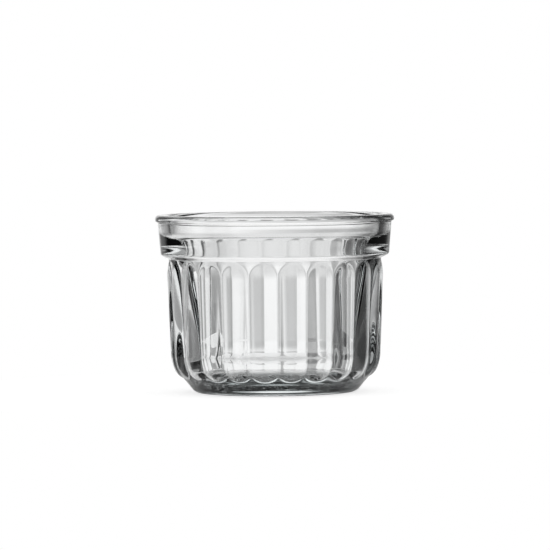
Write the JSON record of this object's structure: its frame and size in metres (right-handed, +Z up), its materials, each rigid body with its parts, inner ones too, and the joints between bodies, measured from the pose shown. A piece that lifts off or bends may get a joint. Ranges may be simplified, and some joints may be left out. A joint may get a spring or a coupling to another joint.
{
  "type": "sauce bowl",
  "caption": "Small round sauce bowl of thick clear pressed glass, with a beaded rim, plain collar, ribbed tapering wall, rounded heel and flat foot.",
  "frame": {"origin": "on the bowl's axis, in the plane of the flat ring it stands on", "axes": "+Z up along the axis of the bowl; a groove between two ribs lies on -Y"},
  "size_m": [0.072, 0.072, 0.0536],
  "materials": {
    "clear_glass": "clear, fire-polished"
  },
  "bodies": {
    "root": {"glass_bowl": "clear_glass"}
  },
  "joints": []
}
